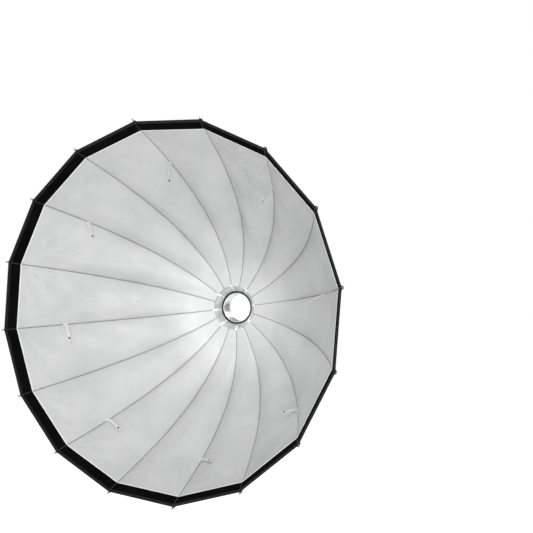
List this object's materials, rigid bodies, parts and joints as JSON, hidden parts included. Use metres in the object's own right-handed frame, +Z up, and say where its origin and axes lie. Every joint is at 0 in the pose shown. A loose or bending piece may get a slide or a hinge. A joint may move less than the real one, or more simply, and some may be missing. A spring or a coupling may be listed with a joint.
{
  "type": "deep parabolic softbox",
  "caption": "Deep parabolic umbrella-style softbox: silver-lined gores between folding ribs on a slotted hub ring with a bayonet lamp insert.",
  "frame": {"origin": "centre of the bayonet insert's back face, where the flash head goes on", "axes": "+Y out of the back towards the flash head; the dish opens towards -Y; +Z up"},
  "size_m": [1.2318, 0.7263, 1.2318],
  "materials": {
    "insert_metal": "satin bright aluminium",
    "black_metal": "black anodised, satin",
    "housing_metal": "black anodised, satin",
    "collar_metal": "brushed grey aluminium",
    "spring_steel": "bright spring steel",
    "rib_rod": "grey coated rod with a metal end cap",
    "knob_plastic": "black moulded plastic, fine grain",
    "black_cloth": "coated black nylon, fine weave",
    "silver_lining": "silver-grey satin reflective cloth, fine diagonal grain",
    "white_webbing": "white woven tape"
  },
  "bodies": {
    "insert": {"insert_flange": "insert_metal", "insert_tube": "insert_metal", "retaining_ring": "black_metal"},
    "hub": {"housing_barrel": "housing_metal", "rib_ring": "housing_metal", "front_collar": "collar_metal", "hinge_wire": "spring_steel", "detent_spring": "spring_steel", "rear_sleeve": "black_cloth", "lining_tie_01": "white_webbing", "lining_tie_02": "white_webbing", "lining_tie_03": "white_webbing", "lining_tie_04": "white_webbing", "lining_tie_05": "white_webbing", "lining_tie_06": "white_webbing", "lining_tie_07": "white_webbing", "lining_tie_08": "white_webbing"},
    "knob": {"clamp_knob": "knob_plastic"},
    "rib_arm_01": {"rib_01": "rib_rod", "diffuser_strap_01": "white_webbing"},
    "rib_arm_02": {"rib_02": "rib_rod"},
    "rib_arm_03": {"rib_03": "rib_rod", "diffuser_strap_02": "white_webbing"},
    "rib_arm_04": {"rib_04": "rib_rod"},
    "rib_arm_05": {"rib_05": "rib_rod", "diffuser_strap_03": "white_webbing"},
    "rib_arm_06": {"rib_06": "rib_rod"},
    "rib_arm_07": {"rib_07": "rib_rod", "diffuser_strap_04": "white_webbing"},
    "rib_arm_08": {"rib_08": "rib_rod"},
    "rib_arm_09": {"rib_09": "rib_rod", "diffuser_strap_05": "white_webbing"},
    "rib_arm_10": {"rib_10": "rib_rod"},
    "rib_arm_11": {"rib_11": "rib_rod", "diffuser_strap_06": "white_webbing"},
    "rib_arm_12": {"rib_12": "rib_rod"},
    "rib_arm_13": {"rib_13": "rib_rod", "diffuser_strap_07": "white_webbing"},
    "rib_arm_14": {"rib_14": "rib_rod"},
    "rib_arm_15": {"rib_15": "rib_rod", "diffuser_strap_08": "white_webbing"},
    "rib_arm_16": {"rib_16": "rib_rod"},
    "gore_cloth_01": {"gore_01": "silver_lining"},
    "gore_cloth_02": {"gore_02": "silver_lining"},
    "gore_cloth_03": {"gore_03": "silver_lining"},
    "gore_cloth_04": {"gore_04": "silver_lining"},
    "gore_cloth_05": {"gore_05": "silver_lining"},
    "gore_cloth_06": {"gore_06": "silver_lining"},
    "gore_cloth_07": {"gore_07": "silver_lining"},
    "gore_cloth_08": {"gore_08": "silver_lining"},
    "gore_cloth_09": {"gore_09": "silver_lining"},
    "gore_cloth_10": {"gore_10": "silver_lining"},
    "gore_cloth_11": {"gore_11": "silver_lining"},
    "gore_cloth_12": {"gore_12": "silver_lining"},
    "gore_cloth_13": {"gore_13": "silver_lining"},
    "gore_cloth_14": {"gore_14": "silver_lining"},
    "gore_cloth_15": {"gore_15": "silver_lining"},
    "gore_cloth_16": {"gore_16": "silver_lining"}
  },
  "joints": [
    {"name": "softbox_rotation", "type": "hinge", "parent": "insert", "child": "hub", "pos_m": [0, 0, 0], "axis": [0, 1, 0], "continuous": true},
    {"name": "clamp_knob_turn", "type": "hinge", "parent": "hub", "child": "knob", "pos_m": [0, -0.03, -0.09], "axis": [0, 0, -1], "continuous": true},
    {"name": "rib_fold_01", "type": "hinge", "parent": "hub", "child": "rib_arm_01", "pos_m": [-0.01034, -0.079, 0.08739], "axis": [0.9931, 0, 0.1175], "range_deg": [0, 38]},
    {"name": "rib_fold_02", "type": "hinge", "parent": "hub", "child": "rib_arm_02", "pos_m": [0.02389, -0.079, 0.0847], "axis": [0.9625, 0, -0.2714], "range_deg": [0, 38]},
    {"name": "rib_fold_03", "type": "hinge", "parent": "hub", "child": "rib_arm_03", "pos_m": [0.05448, -0.079, 0.06911], "axis": [0.7853, 0, -0.6191], "range_deg": [0, 38]},
    {"name": "rib_fold_04", "type": "hinge", "parent": "hub", "child": "rib_arm_04", "pos_m": [0.07678, -0.079, 0.043], "axis": [0.4886, 0, -0.8725], "range_deg": [0, 38]},
    {"name": "rib_fold_05", "type": "hinge", "parent": "hub", "child": "rib_arm_05", "pos_m": [0.08739, -0.079, 0.01034], "axis": [0.1175, 0, -0.9931], "range_deg": [0, 38]},
    {"name": "rib_fold_06", "type": "hinge", "parent": "hub", "child": "rib_arm_06", "pos_m": [0.0847, -0.079, -0.02389], "axis": [-0.2714, 0, -0.9625], "range_deg": [0, 38]},
    {"name": "rib_fold_07", "type": "hinge", "parent": "hub", "child": "rib_arm_07", "pos_m": [0.06911, -0.079, -0.05448], "axis": [-0.6191, 0, -0.7853], "range_deg": [0, 38]},
    {"name": "rib_fold_08", "type": "hinge", "parent": "hub", "child": "rib_arm_08", "pos_m": [0.043, -0.079, -0.07678], "axis": [-0.8725, 0, -0.4886], "range_deg": [0, 38]},
    {"name": "rib_fold_09", "type": "hinge", "parent": "hub", "child": "rib_arm_09", "pos_m": [0.01034, -0.079, -0.08739], "axis": [-0.9931, 0, -0.1175], "range_deg": [0, 38]},
    {"name": "rib_fold_10", "type": "hinge", "parent": "hub", "child": "rib_arm_10", "pos_m": [-0.02389, -0.079, -0.0847], "axis": [-0.9625, 0, 0.2714], "range_deg": [0, 38]},
    {"name": "rib_fold_11", "type": "hinge", "parent": "hub", "child": "rib_arm_11", "pos_m": [-0.05448, -0.079, -0.06911], "axis": [-0.7853, 0, 0.6191], "range_deg": [0, 38]},
    {"name": "rib_fold_12", "type": "hinge", "parent": "hub", "child": "rib_arm_12", "pos_m": [-0.07678, -0.079, -0.043], "axis": [-0.4886, 0, 0.8725], "range_deg": [0, 38]},
    {"name": "rib_fold_13", "type": "hinge", "parent": "hub", "child": "rib_arm_13", "pos_m": [-0.08739, -0.079, -0.01034], "axis": [-0.1175, 0, 0.9931], "range_deg": [0, 38]},
    {"name": "rib_fold_14", "type": "hinge", "parent": "hub", "child": "rib_arm_14", "pos_m": [-0.0847, -0.079, 0.02389], "axis": [0.2714, 0, 0.9625], "range_deg": [0, 38]},
    {"name": "rib_fold_15", "type": "hinge", "parent": "hub", "child": "rib_arm_15", "pos_m": [-0.06911, -0.079, 0.05448], "axis": [0.6191, 0, 0.7853], "range_deg": [0, 38]},
    {"name": "rib_fold_16", "type": "hinge", "parent": "hub", "child": "rib_arm_16", "pos_m": [-0.043, -0.079, 0.07678], "axis": [0.8725, 0, 0.4886], "range_deg": [0, 38]},
    {"name": "gore_gather_01", "type": "hinge", "parent": "rib_arm_01", "child": "gore_cloth_01", "pos_m": [0.0026, -0.09811, 0.03303], "axis": [-0.0743, -0.32, -0.9445], "range_deg": [0, 14.58], "deforming": ["gore_01"]},
    {"name": "gore_gather_02", "type": "hinge", "parent": "rib_arm_02", "child": "gore_cloth_02", "pos_m": [0.01504, -0.09811, 0.02952], "axis": [-0.4301, -0.32, -0.8442], "range_deg": [0, 14.58], "deforming": ["gore_02"]},
    {"name": "gore_gather_03", "type": "hinge", "parent": "rib_arm_03", "child": "gore_cloth_03", "pos_m": [0.02519, -0.09811, 0.02152], "axis": [-0.7204, -0.32, -0.6153], "range_deg": [0, 14.58], "deforming": ["gore_03"]},
    {"name": "gore_gather_04", "type": "hinge", "parent": "rib_arm_04", "child": "gore_cloth_04", "pos_m": [0.03151, -0.09811, 0.01024], "axis": [-0.9011, -0.32, -0.2928], "range_deg": [0, 14.58], "deforming": ["gore_04"]},
    {"name": "gore_gather_05", "type": "hinge", "parent": "rib_arm_05", "child": "gore_cloth_05", "pos_m": [0.01391, -0.10459, -0.00109], "axis": [-0.9445, -0.32, 0.0743], "range_deg": [0, 14.58], "deforming": ["gore_05"]},
    {"name": "gore_gather_06", "type": "hinge", "parent": "rib_arm_06", "child": "gore_cloth_06", "pos_m": [0.02952, -0.09811, -0.01504], "axis": [-0.8442, -0.32, 0.4301], "range_deg": [0, 14.58], "deforming": ["gore_06"]},
    {"name": "gore_gather_07", "type": "hinge", "parent": "rib_arm_07", "child": "gore_cloth_07", "pos_m": [0.02152, -0.09811, -0.02519], "axis": [-0.6153, -0.32, 0.7204], "range_deg": [0, 14.58], "deforming": ["gore_07"]},
    {"name": "gore_gather_08", "type": "hinge", "parent": "rib_arm_08", "child": "gore_cloth_08", "pos_m": [0.01024, -0.09811, -0.03151], "axis": [-0.2928, -0.32, 0.9011], "range_deg": [0, 14.58], "deforming": ["gore_08"]},
    {"name": "gore_gather_09", "type": "hinge", "parent": "rib_arm_09", "child": "gore_cloth_09", "pos_m": [-0.0026, -0.09811, -0.03303], "axis": [0.0743, -0.32, 0.9445], "range_deg": [0, 14.58], "deforming": ["gore_09"]},
    {"name": "gore_gather_10", "type": "hinge", "parent": "rib_arm_10", "child": "gore_cloth_10", "pos_m": [-0.01504, -0.09811, -0.02952], "axis": [0.4301, -0.32, 0.8442], "range_deg": [0, 14.58], "deforming": ["gore_10"]},
    {"name": "gore_gather_11", "type": "hinge", "parent": "rib_arm_11", "child": "gore_cloth_11", "pos_m": [-0.02519, -0.09811, -0.02152], "axis": [0.7204, -0.32, 0.6153], "range_deg": [0, 14.58], "deforming": ["gore_11"]},
    {"name": "gore_gather_12", "type": "hinge", "parent": "rib_arm_12", "child": "gore_cloth_12", "pos_m": [-0.03151, -0.09811, -0.01024], "axis": [0.9011, -0.32, 0.2928], "range_deg": [0, 14.58], "deforming": ["gore_12"]},
    {"name": "gore_gather_13", "type": "hinge", "parent": "rib_arm_13", "child": "gore_cloth_13", "pos_m": [-0.00726, -0.10684, 0.00057], "axis": [0.9445, -0.32, -0.0743], "range_deg": [0, 14.58], "deforming": ["gore_13"]},
    {"name": "gore_gather_14", "type": "hinge", "parent": "rib_arm_14", "child": "gore_cloth_14", "pos_m": [-0.02952, -0.09811, 0.01504], "axis": [0.8442, -0.32, -0.4301], "range_deg": [0, 14.58], "deforming": ["gore_14"]},
    {"name": "gore_gather_15", "type": "hinge", "parent": "rib_arm_15", "child": "gore_cloth_15", "pos_m": [-0.02152, -0.09811, 0.02519], "axis": [0.6153, -0.32, -0.7204], "range_deg": [0, 14.58], "deforming": ["gore_15"]},
    {"name": "gore_gather_16", "type": "hinge", "parent": "rib_arm_16", "child": "gore_cloth_16", "pos_m": [-0.01024, -0.09811, 0.03151], "axis": [0.2928, -0.32, -0.9011], "range_deg": [0, 14.58], "deforming": ["gore_16"]}
  ],
  "couplings": [
    {"joint": "rib_fold_02", "follows": "rib_fold_01", "ratio": 1},
    {"joint": "rib_fold_03", "follows": "rib_fold_01", "ratio": 1},
    {"joint": "rib_fold_04", "follows": "rib_fold_01", "ratio": 1},
    {"joint": "rib_fold_05", "follows": "rib_fold_01", "ratio": 1},
    {"joint": "rib_fold_06", "follows": "rib_fold_01", "ratio": 1},
    {"joint": "rib_fold_07", "follows": "rib_fold_01", "ratio": 1},
    {"joint": "rib_fold_08", "follows": "rib_fold_01", "ratio": 1},
    {"joint": "rib_fold_09", "follows": "rib_fold_01", "ratio": 1},
    {"joint": "rib_fold_10", "follows": "rib_fold_01", "ratio": 1},
    {"joint": "rib_fold_11", "follows": "rib_fold_01", "ratio": 1},
    {"joint": "rib_fold_12", "follows": "rib_fold_01", "ratio": 1},
    {"joint": "rib_fold_13", "follows": "rib_fold_01", "ratio": 1},
    {"joint": "rib_fold_14", "follows": "rib_fold_01", "ratio": 1},
    {"joint": "rib_fold_15", "follows": "rib_fold_01", "ratio": 1},
    {"joint": "rib_fold_16", "follows": "rib_fold_01", "ratio": 1},
    {"joint": "gore_gather_01", "follows": "rib_fold_01", "ratio": 0.38333},
    {"joint": "gore_gather_02", "follows": "rib_fold_01", "ratio": 0.38333},
    {"joint": "gore_gather_03", "follows": "rib_fold_01", "ratio": 0.38333},
    {"joint": "gore_gather_04", "follows": "rib_fold_01", "ratio": 0.38333},
    {"joint": "gore_gather_05", "follows": "rib_fold_01", "ratio": 0.38333},
    {"joint": "gore_gather_06", "follows": "rib_fold_01", "ratio": 0.38333},
    {"joint": "gore_gather_07", "follows": "rib_fold_01", "ratio": 0.38333},
    {"joint": "gore_gather_08", "follows": "rib_fold_01", "ratio": 0.38333},
    {"joint": "gore_gather_09", "follows": "rib_fold_01", "ratio": 0.38333},
    {"joint": "gore_gather_10", "follows": "rib_fold_01", "ratio": 0.38333},
    {"joint": "gore_gather_11", "follows": "rib_fold_01", "ratio": 0.38333},
    {"joint": "gore_gather_12", "follows": "rib_fold_01", "ratio": 0.38333},
    {"joint": "gore_gather_13", "follows": "rib_fold_01", "ratio": 0.38333},
    {"joint": "gore_gather_14", "follows": "rib_fold_01", "ratio": 0.38333},
    {"joint": "gore_gather_15", "follows": "rib_fold_01", "ratio": 0.38333},
    {"joint": "gore_gather_16", "follows": "rib_fold_01", "ratio": 0.38333}
  ]
}
